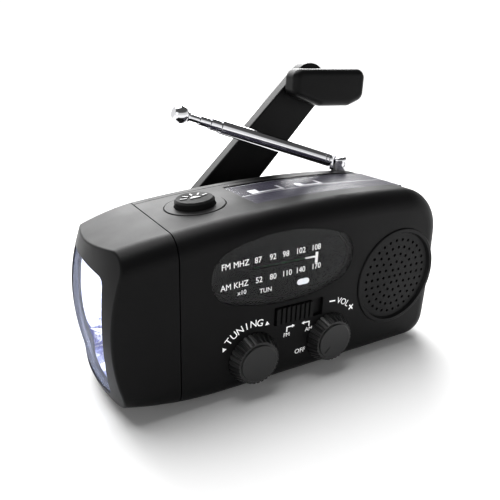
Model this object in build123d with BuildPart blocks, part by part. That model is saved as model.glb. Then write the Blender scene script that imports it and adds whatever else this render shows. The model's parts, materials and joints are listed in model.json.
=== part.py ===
"""Hand-crank emergency radio with a lamp head, a solar panel, a telescopic aerial and a folding crank.

Millimetres. X runs from the lamp head (-X) to the speaker end (+X), the dial faces -Y, Z is up,
and the origin is on the base, under the middle of the case.
"""
from build123d import *
from math import atan2, cos, degrees, hypot, pi, radians, sin
import os

os.makedirs("parts", exist_ok=True)

# --- Case -------------------------------------------------------------------------------------
HALF_DEPTH = 22.4        # half of the case's depth
WALL = 2.0               # shell thickness
EDGE_R = 6.5             # rounding of the long front and rear edges
TOP_Z = 58.4             # crown of the arched top
ARCH_X = 21.0            # where the crown is
ARCH_R = 441.0           # radius of the arched top
SEAM_X = -43.4           # joint between case and lamp head
SEAM_GAP = 0.35          # shadow gap of a case joint
RISE_X, RISE = -28.0, 1.0    # the base curves up from here, by this much at the seam
RIGHT_X = 57.9           # speaker end, at the base
SIDE_BOW = 0.4
SHOULDER_X = 55.6        # speaker end, at the top, before rounding
SHOULDER_R = 16.5
HEEL_R = 9.0             # rounding between base and speaker end
PART_Y = 14.0            # joint between front and rear shell
LIP = 0.9                # thickness of the locating lip behind a case joint
LIP_FIT = 0.05

# --- Lamp head --------------------------------------------------------------------------------
END_X = -66.0            # crown of the domed end
DOME_R = 65.0
DOME_Z = 26.0
LENS_HALF_W = 15.0       # at its corners
LENS_LOW, LENS_HIGH = 7.8, 43.4
LENS_SIDE_BOW, LENS_BOW = 2.6, 0.8
LENS_CORNER = 3.2
LED_PITCH = 12.0
LED_R = 2.5

# --- Dial, knobs and switch --------------------------------------------------------------------
WINDOW_X, WINDOW_Z = -9.0, 40.1
WINDOW_HALF_L, WINDOW_HALF_H = 25.3, 11.5
WINDOW_LIP = 1.5
WINDOW_T = 1.0
POINTER_X, POINTER_Z = 2.8, 40.6
POINTER_TRAVEL = 21.0    # from the top of the scale to its bottom
TUNING_X, VOLUME_X, KNOB_Z = -20.0, 8.7, 12.2
KNOB_R, KNOB_TOP_R, KNOB_DISC_R = 8.45, 7.0, 6.1
KNOB_H = 4.1
KNOB_FLUTES = 30
SHAFT_R = 3.0
RUNNING = 0.05           # radial clearance of a running fit
SLOT_X, SLOT_Z = -3.6, 24.1
SLOT_L, SLOT_H, SLOT_DEPTH = 18.6, 6.2, 1.3
SLIDER_L, SLIDER_H = 13.8, 5.4

# --- Speaker ------------------------------------------------------------------------------------
SPEAKER_X, SPEAKER_Z = 37.4, 28.3
GRILLE_R = 17.5
GRILLE_RIM = 1.9

# --- Solar panel --------------------------------------------------------------------------------
PANEL_LEFT, PANEL_RIGHT = -13.7, 47.2
PANEL_FRONT, PANEL_BACK = -10.6, 11.5
PANEL_DEPTH = 1.0
COVER_T = 0.45

# --- Lamp button --------------------------------------------------------------------------------
BUTTON_X = -28.9
BUTTON_R = 6.2
BUTTON_RISE = 2.4
BUTTON_TRAVEL = 1.2
BEZEL_R = 9.4
BEZEL_T = 1.6

# --- Crank and gear train -----------------------------------------------------------------------
CRANK_X, CRANK_Z = -18.0, 33.3
GRIP_PIN_X, GRIP_PIN_Z = 35.0, 89.0
ARM_FRONT, ARM_BACK = 32.0, 37.5
ARM_HUB_R, ARM_TIP_R = 9.6, 8.0
BOSS_R = 12.0
BOSS_END = 30.7
CRANK_SHAFT_R = 2.5
GRIP_HALF_L, GRIP_TOP, GRIP_BELLY = 17.0, 6.8, 7.2
GRIP_MID_X, GRIP_MID_Z = 39.6, 88.6
GRIP_FRONT, GRIP_BACK = 23.9, 31.6
GRIP_PIN_R = 2.0
DRIVE_TEETH, IDLER_PINION_TEETH, IDLER_WHEEL_TEETH, DYNAMO_TEETH = 48, 12, 40, 10
DRIVE_MODULE, FAST_MODULE = 0.6, 0.5
IDLER_ANGLE, DYNAMO_ANGLE = -20.0, 0.0
DYNAMO_R = 9.5

# --- Aerial -------------------------------------------------------------------------------------
AERIAL_X, AERIAL_Y, AERIAL_Z = 40.0, 16.8, 60.6
AERIAL_TILT = 16.7       # raised above the horizontal at rest
AERIAL_STOWED = 2.4
AERIAL_TIP = 69.2        # pivot to the middle of the tip
AERIAL_START = 5.2
TUBE_RADII = (2.4, 2.0, 1.6, 1.2)
TUBE_ENDS = (54.5, 58.5, 62.5, 66.2)
TUBE_TAILS = (AERIAL_START, 9.6, 10.6, 11.6)
TUBE_FIT = 0.07
TIP_R = 3.0

FRONT = -HALF_DEPTH
BACK = HALF_DEPTH
INNER_FRONT = FRONT + WALL
INNER_BACK = BACK - WALL


def save(piece, name):
    """Label a finished piece and write it."""
    piece.label = name
    export_step(piece, f"parts/{name}.step")


def front_plane(x, y, z):
    """Plane facing the dial side: local x along X, local y along Z, normal along -Y."""
    return Plane(origin=(x, y, z), x_dir=(1, 0, 0), z_dir=(0, -1, 0))


def back_plane(x, y, z):
    """Plane facing the rear: local x along X, local y along -Z, normal along +Y."""
    return Plane(origin=(x, y, z), x_dir=(1, 0, 0), z_dir=(0, 1, 0))


def arch(x):
    """Height of the case's top at x."""
    return TOP_Z - ARCH_R + (ARCH_R ** 2 - (x - ARCH_X) ** 2) ** 0.5


def body_block(inset):
    """The case as one solid block, moved in by inset on every side but the lamp seam."""
    half = HALF_DEPTH - inset
    with BuildPart() as block:
        with BuildSketch(Plane.XZ) as outline:
            with BuildLine():
                rise = ThreePointArc((SEAM_X, RISE + inset), ((SEAM_X + RISE_X) / 2, RISE / 4 + inset),
                                     (RISE_X, inset))
                base = Line(rise @ 1, (RIGHT_X - inset, inset))
                side = ThreePointArc(base @ 1, (RIGHT_X + SIDE_BOW - inset, TOP_Z * 0.35),
                                     (SHOULDER_X - inset, arch(SHOULDER_X) - inset))
                crown = ThreePointArc(side @ 1, (ARCH_X, TOP_Z - inset),
                                      (SEAM_X, arch(SEAM_X) - inset))
                Line(crown @ 1, rise @ 0)
            make_face()
            right_corners = outline.vertices().sort_by(Axis.X)
            fillet(right_corners[-1:], HEEL_R - inset)
            shoulder = outline.vertices().filter_by(
                lambda corner: abs(corner.X - SHOULDER_X + inset) < 0.01)
            fillet(shoulder, SHOULDER_R - inset)
        extrude(amount=half, both=True)
        long_edges = block.edges().filter_by(
            lambda edge: abs(abs(edge.center().Y) - half) < 0.01 and edge.center().X > SEAM_X + 1)
        fillet(long_edges, EDGE_R - inset)
    return block.part


def head_block(inset):
    """The lamp head as one solid block, tapering from the seam to a domed end."""
    # Each section: its place, its base and top, how much its top leans down to the rear, its half depth.
    sections = ((SEAM_X, RISE, arch(SEAM_X), 0, HALF_DEPTH),
                (SEAM_X - 11, 3.0, 51.3, 0.9, HALF_DEPTH - 0.25),
                (END_X - 1, 6.4, 46.8, 2.4, HALF_DEPTH - 1.2))
    with BuildPart() as block:
        for x, low, high, lean, half in sections:
            side, base, front, rear = half - inset, low + inset, high + lean - inset, high - lean - inset
            with BuildSketch(Plane(origin=(x, 0, 0), x_dir=(0, 1, 0), z_dir=(1, 0, 0))) as section:
                Polygon((-side, base), (side, base), (side, rear), (-side, front), align=None)
                fillet(section.vertices(), EDGE_R - inset)
        loft()
        with Locations((END_X + DOME_R, 0, DOME_Z)):
            Sphere(DOME_R - inset, mode=Mode.INTERSECT)
    return block.part


def slab(x_low, x_high, y_low, y_high, z_low, z_high):
    """A plain block between two corners, for cutting and joining."""
    with BuildPart() as block:
        with BuildSketch(Plane.XY.offset(z_low)):
            with Locations(((x_low + x_high) / 2, (y_low + y_high) / 2)):
                Rectangle(x_high - x_low, y_high - y_low)
        extrude(amount=z_high - z_low)
    return block.part


def window_face(inset):
    """Outline of the dial window: long bowed sides and blunt rounded ends, drawn at the origin."""
    length, height = WINDOW_HALF_L - inset, WINDOW_HALF_H - inset
    shoulder_x, shoulder_z = 0.76 * length, 0.72 * height
    with BuildSketch() as outline:
        with BuildLine():
            ThreePointArc((-shoulder_x, shoulder_z), (0, height), (shoulder_x, shoulder_z))
            ThreePointArc((shoulder_x, shoulder_z), (length, 0), (shoulder_x, -shoulder_z))
            ThreePointArc((shoulder_x, -shoulder_z), (0, -height), (-shoulder_x, -shoulder_z))
            ThreePointArc((-shoulder_x, -shoulder_z), (-length, 0), (-shoulder_x, shoulder_z))
        make_face()
        fillet(outline.vertices(), 3.0)
    return outline.sketch


def window_plate(inset, y, thickness):
    """A plate of the window's outline, its front face at y."""
    with BuildPart() as plate:
        with BuildSketch(front_plane(WINDOW_X, y + thickness, WINDOW_Z)):
            add(window_face(inset))
        extrude(amount=thickness)
    return plate.part


def lens_prism(inset):
    """A prism along X with the lamp opening's outline: four slightly bowed sides."""
    half = LENS_HALF_W - inset
    half_h = (LENS_HIGH - LENS_LOW) / 2 - inset
    middle = (LENS_HIGH + LENS_LOW) / 2
    facing = Plane(origin=(END_X - 2, 0, middle), x_dir=(0, -1, 0), z_dir=(1, 0, 0))
    with BuildPart() as prism:
        with BuildSketch(facing) as outline:
            with BuildLine():
                ThreePointArc((-half, half_h), (0, half_h + LENS_BOW), (half, half_h))
                ThreePointArc((half, half_h), (half + LENS_SIDE_BOW, 0), (half, -half_h))
                ThreePointArc((half, -half_h), (0, -half_h - LENS_BOW), (-half, -half_h))
                ThreePointArc((-half, -half_h), (-half - LENS_SIDE_BOW, 0), (-half, half_h))
            make_face()
            fillet(outline.vertices(), LENS_CORNER - inset / 2)
        extrude(amount=14)
    return prism.part


def arched_slab(left, right, front, back, low, high):
    """A slab that follows the arched top, between two depths below it."""
    with BuildPart() as block:
        with BuildSketch(Plane.XZ.offset(-back)):
            with BuildLine():
                middle = (left + right) / 2
                lower = ThreePointArc((left, arch(left) - low), (middle, arch(middle) - low),
                                      (right, arch(right) - low))
                upper = ThreePointArc((right, arch(right) - high), (middle, arch(middle) - high),
                                      (left, arch(left) - high))
                Line(lower @ 1, upper @ 0)
                Line(upper @ 1, lower @ 0)
            make_face()
        extrude(amount=back - front)
    return block.part


def rod_y(x, z, radius, y_low, y_high):
    """A round bar along Y."""
    with BuildPart() as bar:
        with BuildSketch(back_plane(x, y_low, z)):
            Circle(radius)
        extrude(amount=y_high - y_low)
    return bar.part


def rod_x(x_low, length, y, z, radius):
    """A round bar along X."""
    with BuildPart() as bar:
        with BuildSketch(Plane(origin=(x_low, y, z), x_dir=(0, 1, 0), z_dir=(1, 0, 0))):
            Circle(radius)
        extrude(amount=length)
    return bar.part


# The lamp button stands square to the arched top, so its plane leans with the surface there.
BUTTON_LEAN = degrees(atan2(ARCH_X - BUTTON_X, ARCH_R))
BUTTON_AXIS = (-sin(radians(BUTTON_LEAN)), 0, cos(radians(BUTTON_LEAN)))


def button_plane(rise):
    """Plane across the lamp button's axis, at a height above the top surface."""
    origin = (BUTTON_X + rise * BUTTON_AXIS[0], 0, arch(BUTTON_X) + rise * BUTTON_AXIS[2])
    return Plane(origin=origin, x_dir=(0, 1, 0), z_dir=BUTTON_AXIS)


def disc(plane, radius, thickness):
    """A round plate on a plane."""
    with BuildPart() as plate:
        with BuildSketch(plane):
            Circle(radius)
        extrude(amount=thickness)
    return plate.part


def aerial_plane(along, tilt=AERIAL_TILT):
    """Plane across the aerial, at a distance from its pivot."""
    lean = radians(tilt)
    direction = (-cos(lean), 0, sin(lean))
    origin = (AERIAL_X + along * direction[0], AERIAL_Y, AERIAL_Z + along * direction[2])
    return Plane(origin=origin, x_dir=(0, 1, 0), z_dir=direction)


SCREW_PLACES = ((-37.5, 8.3), (-38.0, 45.5), (51.0, 8.6), (49.0, 46.2))
SCREW_POST_R = 3.0
SCREW_R = 1.2
SCREW_HEAD_R = 2.3
SCREW_RECESS_R = 2.6

# --- Front shell ----------------------------------------------------------------------------------
PORT_X, PORT_Z = 34.0, 14.2          # middle of the socket cover
PORT_L, PORT_H = 29.0, 11.0
PORT_DEPTH = 1.9
USB_X, MICRO_X, SOCKET_Z = 40.0, 26.5, 13.4
HINGE_Y, HINGE_Z = BACK - 0.95, PORT_Z + PORT_H / 2 + 0.2
HINGE_PIN_R = 0.45

outer_body = body_block(0)
inner_body = body_block(WALL)

with BuildPart() as front_shell:
    add(outer_body)
    add(inner_body, mode=Mode.SUBTRACT)
    add(slab(SEAM_X - 1, RIGHT_X + 2, PART_Y, BACK + 1, -1, TOP_Z + 1), mode=Mode.SUBTRACT)
    # Seat and sight opening of the dial window.
    add(window_plate(0, FRONT - 0.5, WINDOW_T + 0.6), mode=Mode.SUBTRACT)
    add(window_plate(WINDOW_LIP, FRONT, WALL + 0.5), mode=Mode.SUBTRACT)
    # Speaker seat and sound opening.
    add(rod_y(SPEAKER_X, SPEAKER_Z, GRILLE_R + 0.08, FRONT - 1, FRONT + 1.5), mode=Mode.SUBTRACT)
    add(rod_y(SPEAKER_X, SPEAKER_Z, GRILLE_R - 2.5, FRONT, INNER_FRONT + 1), mode=Mode.SUBTRACT)
    # Clearance holes for the two control shafts.
    for shaft_x in (TUNING_X, VOLUME_X):
        add(rod_y(shaft_x, KNOB_Z, SHAFT_R + 0.4, FRONT - 1, INNER_FRONT + 1), mode=Mode.SUBTRACT)
    # Pocket of the band switch, with a slot in its floor for the slider's stem.
    with BuildSketch(front_plane(SLOT_X, FRONT + SLOT_DEPTH, SLOT_Z)):
        RectangleRounded(SLOT_L, SLOT_H, 0.5)
    extrude(amount=SLOT_DEPTH + 1, mode=Mode.SUBTRACT)
    with BuildSketch(front_plane(SLOT_X, INNER_FRONT + 1, SLOT_Z)):
        Rectangle(SLOT_L - 8, 2.6)
    extrude(amount=4, mode=Mode.SUBTRACT)
    # Recess of the solar panel.
    add(arched_slab(PANEL_LEFT, PANEL_RIGHT, PANEL_FRONT, PANEL_BACK, PANEL_DEPTH, -2),
        mode=Mode.SUBTRACT)
    # Seat of the button's ring, and the button's well.
    add(disc(button_plane(-BEZEL_T), BEZEL_R + 0.25, 6), mode=Mode.SUBTRACT)
    add(disc(button_plane(-WALL - 3), BUTTON_R + 1.3, 8), mode=Mode.SUBTRACT)
    # Screw posts.
    for post_x, post_z in SCREW_PLACES:
        add(rod_y(post_x, post_z, SCREW_POST_R, INNER_FRONT - 0.2, PART_Y))
        add(rod_y(post_x, post_z, SCREW_R, PART_Y - 12, PART_Y + 1), mode=Mode.SUBTRACT)
save(front_shell.part, "front_shell")

# --- Rear shell -----------------------------------------------------------------------------------
with BuildPart() as rear_lip:
    add(body_block(WALL + LIP_FIT))
    add(body_block(WALL + LIP_FIT + LIP), mode=Mode.SUBTRACT)
    add(slab(SEAM_X - 1, RIGHT_X + 2, FRONT - 1, PART_Y - 3, -1, TOP_Z + 1), mode=Mode.SUBTRACT)
    add(slab(SEAM_X - 1, RIGHT_X + 2, PART_Y + 2, BACK + 1, -1, TOP_Z + 1), mode=Mode.SUBTRACT)
    add(slab(SEAM_X - 1, SEAM_X + 5.5, FRONT - 1, BACK + 1, -1, TOP_Z + 1), mode=Mode.SUBTRACT)
    for post_x, post_z in SCREW_PLACES:
        add(rod_y(post_x, post_z, SCREW_POST_R + 0.3, FRONT, PART_Y + SEAM_GAP), mode=Mode.SUBTRACT)

with BuildPart() as rear_shell:
    add(outer_body)
    add(inner_body, mode=Mode.SUBTRACT)
    add(slab(SEAM_X - 1, RIGHT_X + 2, FRONT - 1, PART_Y + SEAM_GAP, -1, TOP_Z + 1),
        mode=Mode.SUBTRACT)
    add(rear_lip.part)
    # Boss that carries the crank clear of the back.
    with BuildSketch(back_plane(CRANK_X, BACK - 1, CRANK_Z)):
        Circle(BOSS_R)
    extrude(amount=BOSS_END - BACK + 1, taper=6)
    add(rod_y(CRANK_X, CRANK_Z, CRANK_SHAFT_R + RUNNING, INNER_BACK - 1, BOSS_END + 1),
        mode=Mode.SUBTRACT)
    # Pad, recess and openings of the sockets.
    with BuildSketch(back_plane(PORT_X, BACK - PORT_DEPTH - 1.6, PORT_Z)):
        RectangleRounded(PORT_L + 3, PORT_H + 4, 2)
    extrude(amount=PORT_DEPTH + 0.8)
    with BuildSketch(back_plane(PORT_X, BACK - PORT_DEPTH, PORT_Z + 0.5)):
        RectangleRounded(PORT_L + 0.8, PORT_H + 1.8, 1.2)
    extrude(amount=PORT_DEPTH + 1, mode=Mode.SUBTRACT)
    for socket_x, width, height in ((USB_X, 13.6, 6.1), (MICRO_X, 8.2, 3.4)):
        with BuildSketch(back_plane(socket_x, INNER_BACK - 4, SOCKET_Z)):
            Rectangle(width, height)
        extrude(amount=8, mode=Mode.SUBTRACT)
    # Blind holes for the ends of the cover's pin.
    add(rod_x(PORT_X - PORT_L / 2 - 1.4, PORT_L + 2.8, HINGE_Y, HINGE_Z, HINGE_PIN_R),
        mode=Mode.SUBTRACT)
    # Screw pads and their recesses.
    for post_x, post_z in SCREW_PLACES:
        add(rod_y(post_x, post_z, SCREW_POST_R, PART_Y + SEAM_GAP, INNER_BACK + 0.2))
        add(rod_y(post_x, post_z, SCREW_RECESS_R, BACK - 3, BACK + 1), mode=Mode.SUBTRACT)
        add(rod_y(post_x, post_z, SCREW_R + 0.2, PART_Y, BACK), mode=Mode.SUBTRACT)
    # Shallow groove for the stowed aerial, and the hole for its post.
    with BuildSketch(aerial_plane(-3.4, AERIAL_STOWED)):
        Circle(TUBE_RADII[0] + 0.35)
    extrude(amount=48, mode=Mode.SUBTRACT)
    with BuildSketch(Plane(origin=(AERIAL_X, AERIAL_Y, TOP_Z - 8))):
        Circle(2.6 + RUNNING)
    extrude(amount=12, mode=Mode.SUBTRACT)
    with BuildSketch(Plane(origin=(AERIAL_X, AERIAL_Y, 57.5))):
        Circle(3.8)
    extrude(amount=4, mode=Mode.SUBTRACT)
save(rear_shell.part, "rear_shell")

# --- Case screws ----------------------------------------------------------------------------------
with BuildPart() as case_screws:
    for post_x, post_z in SCREW_PLACES:
        with BuildSketch(back_plane(post_x, PART_Y - 10, post_z)):
            Circle(SCREW_R - 0.02)
        extrude(amount=BACK - 3 - PART_Y + 10)
        with BuildSketch(back_plane(post_x, BACK - 3, post_z)):
            Circle(SCREW_HEAD_R)
        extrude(amount=1.6)
        with BuildSketch(back_plane(post_x, BACK - 2.1, post_z)):
            Rectangle(2.8, 0.6)
            Rectangle(0.6, 2.8)
        extrude(amount=1, mode=Mode.SUBTRACT)
save(case_screws.part, "case_screws")

# --- Lamp head ------------------------------------------------------------------------------------
with BuildPart() as lamp_head:
    add(head_block(0))
    fillet(lamp_head.edges().filter_by(lambda edge: edge.center().X < SEAM_X - 14.5), 0.9)
    add(head_block(WALL), mode=Mode.SUBTRACT)
    add(slab(SEAM_X - SEAM_GAP, SEAM_X + 1, FRONT - 1, BACK + 1, -1, TOP_Z), mode=Mode.SUBTRACT)
    add(lens_prism(0), mode=Mode.SUBTRACT)
    # Collar that plugs into the case and shows as a shadow line at the seam.
    collar = Plane(origin=(SEAM_X - 3, 0, (RISE + arch(SEAM_X)) / 2), x_dir=(0, 1, 0), z_dir=(1, 0, 0))
    with BuildSketch(collar):
        for inset, mode in ((WALL + LIP_FIT + 0.2, Mode.ADD), (WALL + 1.5, Mode.SUBTRACT)):
            RectangleRounded(2 * (HALF_DEPTH - inset), arch(SEAM_X) - RISE - 2 * inset,
                             EDGE_R - inset, mode=mode)
    extrude(amount=4.4)
save(lamp_head.part, "lamp_head")

with BuildPart() as lamp_lens:
    add(head_block(0.5))
    add(head_block(1.7), mode=Mode.SUBTRACT)
    add(lens_prism(0.08), mode=Mode.INTERSECT)
save(lamp_lens.part, "lamp_lens")

REFLECTOR_FRONT, REFLECTOR_BACK = -58.8, -51.0
REFLECTOR_HALF_W = 16.4
LENS_MID = (LENS_LOW + LENS_HIGH) / 2
with BuildPart() as lamp_reflector:
    with BuildSketch(Plane(origin=(REFLECTOR_BACK, 0, LENS_MID), x_dir=(0, 1, 0), z_dir=(-1, 0, 0))):
        RectangleRounded(2 * REFLECTOR_HALF_W, LENS_HIGH - LENS_LOW, LENS_CORNER)
    extrude(amount=REFLECTOR_BACK - REFLECTOR_FRONT)
    with BuildSketch(Plane(origin=(REFLECTOR_FRONT - 0.01, 0, LENS_MID), x_dir=(0, 1, 0), z_dir=(1, 0, 0))):
        RectangleRounded(2 * REFLECTOR_HALF_W - 2, LENS_HIGH - LENS_LOW - 2, LENS_CORNER - 1)
    with BuildSketch(Plane(origin=(REFLECTOR_BACK - 1, 0, LENS_MID), x_dir=(0, 1, 0), z_dir=(1, 0, 0))):
        RectangleRounded(14, 2 * LED_PITCH + 10, 2)
    loft(mode=Mode.SUBTRACT)
    for step in (-1, 0, 1):
        with BuildSketch(Plane(origin=(REFLECTOR_BACK + 1, 0, LENS_MID + step * LED_PITCH),
                               x_dir=(0, 1, 0), z_dir=(-1, 0, 0))):
            Circle(LED_R + 0.5)
        extrude(amount=4, mode=Mode.SUBTRACT)
save(lamp_reflector.part, "lamp_reflector")

with BuildPart() as lamp_leds:
    for step in (-1, 0, 1):
        led_z = LENS_MID + step * LED_PITCH
        with BuildSketch(Plane(origin=(REFLECTOR_BACK + 0.4, 0, led_z), x_dir=(0, 1, 0), z_dir=(-1, 0, 0))):
            Circle(LED_R + 0.3)
        extrude(amount=1)
        with BuildSketch(Plane(origin=(REFLECTOR_BACK + 0.4, 0, led_z), x_dir=(0, 1, 0), z_dir=(-1, 0, 0))):
            Circle(LED_R)
        extrude(amount=4.5)
        with Locations((REFLECTOR_BACK - 4.1, 0, led_z)):
            Sphere(LED_R)
save(lamp_leds.part, "lamp_leds")

save(slab(REFLECTOR_BACK + 0.4, REFLECTOR_BACK + 2, -15, 15, 8, 43), "lamp_board")

# --- Dial -----------------------------------------------------------------------------------------
save(window_plate(0.12, FRONT + 0.1, WINDOW_T - 0.1), "dial_window")

DIAL_Y = INNER_FRONT
with BuildPart() as dial_plate:
    add(window_plate(0.5, DIAL_Y, 0.8))
    with BuildSketch(front_plane(POINTER_X - POINTER_TRAVEL / 2 + 0.3, DIAL_Y + 2, POINTER_Z)):
        Rectangle(POINTER_TRAVEL + 3.4, 1.0)
    extrude(amount=4, mode=Mode.SUBTRACT)
    with BuildSketch(front_plane(-1.4, DIAL_Y + 2, 33.1)):
        SlotOverall(4.7, 2.1)
    extrude(amount=4, mode=Mode.SUBTRACT)
save(dial_plate.part, "dial_plate")

with BuildPart() as tuning_light:
    with BuildSketch(front_plane(-1.4, DIAL_Y + 1.4, 33.1)):
        SlotOverall(4.5, 1.9)
    extrude(amount=1.5)
save(tuning_light.part, "tuning_light")

RAIL_Y, RAIL_R = DIAL_Y + 2.4, 0.6
RAIL_MID = POINTER_X - POINTER_TRAVEL / 2
RAIL_HALF = POINTER_TRAVEL / 2 + 4
with BuildPart() as dial_rail:
    add(rod_x(RAIL_MID - RAIL_HALF, 2 * RAIL_HALF, RAIL_Y, POINTER_Z, RAIL_R))
    for end in (-1, 1):
        with BuildSketch(front_plane(RAIL_MID + end * (RAIL_HALF - 0.5), RAIL_Y + 0.8, POINTER_Z)):
            Rectangle(1.0, 2.4)
        extrude(amount=RAIL_Y + 0.8 - DIAL_Y - 0.8)
save(dial_rail.part, "dial_rail")

with BuildPart() as dial_pointer:
    with BuildSketch(front_plane(POINTER_X, DIAL_Y - 0.2, POINTER_Z)):
        Rectangle(0.75, 3.5)
    extrude(amount=0.35)
    with BuildSketch(front_plane(POINTER_X, RAIL_Y, POINTER_Z)):
        Rectangle(0.6, 0.6)
    extrude(amount=RAIL_Y - DIAL_Y + 0.3)
    with BuildSketch(front_plane(POINTER_X, RAIL_Y + 1.1, POINTER_Z)):
        Rectangle(3.0, 3.0)
    extrude(amount=2.3)
    add(rod_x(POINTER_X - 3, 6, RAIL_Y, POINTER_Z, RAIL_R + RUNNING), mode=Mode.SUBTRACT)
save(dial_pointer.part, "dial_pointer")

# --- Knobs and what they turn ----------------------------------------------------------------------
KNOB_BACK = FRONT - 0.25


def knob(x, mark):
    """A low fluted knob with a flat disc on top and its shaft behind; the mark is a raised rib."""
    with BuildPart() as turned:
        with BuildSketch(front_plane(x, KNOB_BACK, KNOB_Z)):
            Circle(KNOB_R)
        with BuildSketch(front_plane(x, KNOB_BACK - KNOB_H + 0.5, KNOB_Z)):
            Circle(KNOB_TOP_R)
        loft()
        for step in range(KNOB_FLUTES):
            turn = radians(360 / KNOB_FLUTES * step)
            reach = KNOB_R + 0.12
            rim = Vector(x + reach * cos(turn), KNOB_BACK + 0.05, KNOB_Z + reach * sin(turn))
            top = Vector(x + (KNOB_TOP_R + 0.12) * cos(turn), KNOB_BACK - KNOB_H + 0.45,
                         KNOB_Z + (KNOB_TOP_R + 0.12) * sin(turn))
            with BuildSketch(Plane(origin=rim, z_dir=top - rim)):
                Circle(0.42)
            extrude(amount=KNOB_H + 1, mode=Mode.SUBTRACT)
        with BuildSketch(front_plane(x, KNOB_BACK - 1, KNOB_Z)):
            Circle(KNOB_DISC_R)
        extrude(amount=KNOB_H - 1)
        fillet(turned.faces().sort_by(Axis.Y)[0].edges(), 0.3)
        if mark:
            with BuildSketch(front_plane(x, KNOB_BACK - KNOB_H, KNOB_Z)):
                with Locations((-KNOB_DISC_R * 0.45, -KNOB_DISC_R * 0.45)):
                    Rectangle(2.6, 0.6, rotation=45)
            extrude(amount=0.15)
        with BuildSketch(back_plane(x, KNOB_BACK - 0.5, KNOB_Z)):
            Circle(SHAFT_R)
        extrude(amount=8.4)
    return turned.part


save(knob(TUNING_X, False), "tuning_knob")
save(knob(VOLUME_X, True), "volume_knob")

BOARD_Y = -12.2
for name, control_x, size in (("tuning_capacitor", TUNING_X, 16.0), ("volume_control", VOLUME_X, 14.0)):
    with BuildPart() as control:
        with BuildSketch(front_plane(control_x, BOARD_Y, KNOB_Z)):
            RectangleRounded(size, size, 0.8)
        extrude(amount=6.6)
        with BuildSketch(front_plane(control_x, BOARD_Y - 1.6, KNOB_Z)):
            Circle(SHAFT_R + RUNNING)
        extrude(amount=8, mode=Mode.SUBTRACT)
    save(control.part, name)

# --- Band switch ----------------------------------------------------------------------------------
SLIDER_X = SLOT_X - SLOT_L / 2 + SLIDER_L / 2 + 0.6
with BuildPart() as band_slider:
    with BuildSketch(front_plane(SLIDER_X, FRONT + SLOT_DEPTH - 0.3, SLOT_Z)):
        RectangleRounded(SLIDER_L, SLIDER_H, 0.4)
    extrude(amount=SLOT_DEPTH + 0.4)
    for step in range(7):
        with BuildSketch(front_plane(SLIDER_X + (step - 3) * 1.75, FRONT - 0.15, SLOT_Z)):
            Rectangle(0.7, SLIDER_H + 1)
        extrude(amount=2, mode=Mode.SUBTRACT)
    with BuildSketch(back_plane(SLIDER_X, FRONT + 0.5, SLOT_Z)):
        Rectangle(3.0, 2.0)
    extrude(amount=4.0)
save(band_slider.part, "band_slider")

with BuildPart() as band_switch:
    with BuildSketch(front_plane(SLOT_X, BOARD_Y, SLOT_Z)):
        Rectangle(SLOT_L - 2, 6.0)
    extrude(amount=BOARD_Y - INNER_FRONT - 0.1)
    with BuildSketch(front_plane(SLOT_X, INNER_FRONT + 3.2, SLOT_Z)):
        Rectangle(SLOT_L - 6, 2.6)
    extrude(amount=5, mode=Mode.SUBTRACT)
save(band_switch.part, "band_switch")

# --- Speaker --------------------------------------------------------------------------------------
GRILLE_BACK = FRONT + 1.5
with BuildPart() as speaker_grille:
    add(rod_y(SPEAKER_X, SPEAKER_Z, GRILLE_R, FRONT - 0.45, GRILLE_BACK))
    fillet(speaker_grille.faces().sort_by(Axis.Y)[0].edges(), 0.4)
    with BuildSketch(front_plane(SPEAKER_X, FRONT + 0.5, SPEAKER_Z)):
        Circle(GRILLE_R - GRILLE_RIM)
    extrude(amount=3, taper=-30, mode=Mode.SUBTRACT)
    with BuildSketch(front_plane(SPEAKER_X, GRILLE_BACK + 1, SPEAKER_Z)):
        Circle(0.55)
        for ring in range(1, 6):
            with PolarLocations(2.65 * ring, 6 * ring):
                Circle(0.55)
    extrude(amount=4, mode=Mode.SUBTRACT)
save(speaker_grille.part, "speaker_grille")

with BuildPart() as speaker_frame:
    add(rod_y(SPEAKER_X, SPEAKER_Z, 15.7, INNER_FRONT + 0.1, INNER_FRONT + 1.3))
    with BuildSketch(back_plane(SPEAKER_X, INNER_FRONT + 1.3, SPEAKER_Z)):
        Circle(15.6)
    with BuildSketch(back_plane(SPEAKER_X, INNER_FRONT + 9, SPEAKER_Z)):
        Circle(8.5)
    loft()
    with BuildSketch(back_plane(SPEAKER_X, INNER_FRONT - 0.01, SPEAKER_Z)):
        Circle(14.8)
    with BuildSketch(back_plane(SPEAKER_X, INNER_FRONT + 8, SPEAKER_Z)):
        Circle(7.6)
    loft(mode=Mode.SUBTRACT)
save(speaker_frame.part, "speaker_frame")

with BuildPart() as speaker_cone:
    with BuildSketch(back_plane(SPEAKER_X, INNER_FRONT + 0.6, SPEAKER_Z)):
        Circle(14.2)
    with BuildSketch(back_plane(SPEAKER_X, INNER_FRONT + 6.6, SPEAKER_Z)):
        Circle(6.6)
    loft()
    with BuildSketch(back_plane(SPEAKER_X, INNER_FRONT + 0.59, SPEAKER_Z)):
        Circle(13.7)
    with BuildSketch(back_plane(SPEAKER_X, INNER_FRONT + 6.0, SPEAKER_Z)):
        Circle(6.3)
    loft(mode=Mode.SUBTRACT)
save(speaker_cone.part, "speaker_cone")
save(rod_y(SPEAKER_X, SPEAKER_Z, 9.5, INNER_FRONT + 9, INNER_FRONT + 14.5), "speaker_magnet")

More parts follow.
